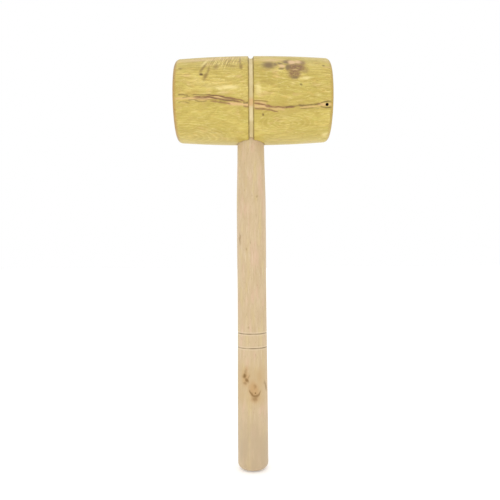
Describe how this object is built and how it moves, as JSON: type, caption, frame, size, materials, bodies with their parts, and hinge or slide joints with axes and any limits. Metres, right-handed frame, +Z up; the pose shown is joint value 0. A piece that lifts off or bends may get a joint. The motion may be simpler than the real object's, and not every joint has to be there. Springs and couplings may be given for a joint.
{
  "type": "meat mallet",
  "caption": "Wooden meat mallet with a grooved barrel head and a turned round handle held in a blind hole.",
  "frame": {"origin": "on the floor under the middle of the head, with the mallet standing upright on the butt of its handle", "axes": "+Z up the handle towards the head, +X along the head, +Y across the head"},
  "size_m": [0.1474, 0.084, 0.399],
  "materials": {
    "head_wood": "clear varnish over olive-yellow hardwood with a brown vein",
    "handle_wood": "bare, finely sanded pale hardwood",
    "wedge_wood": "sawn hardwood"
  },
  "bodies": {
    "root": {"head": "head_wood", "handle": "handle_wood", "wedge": "wedge_wood"}
  },
  "joints": []
}
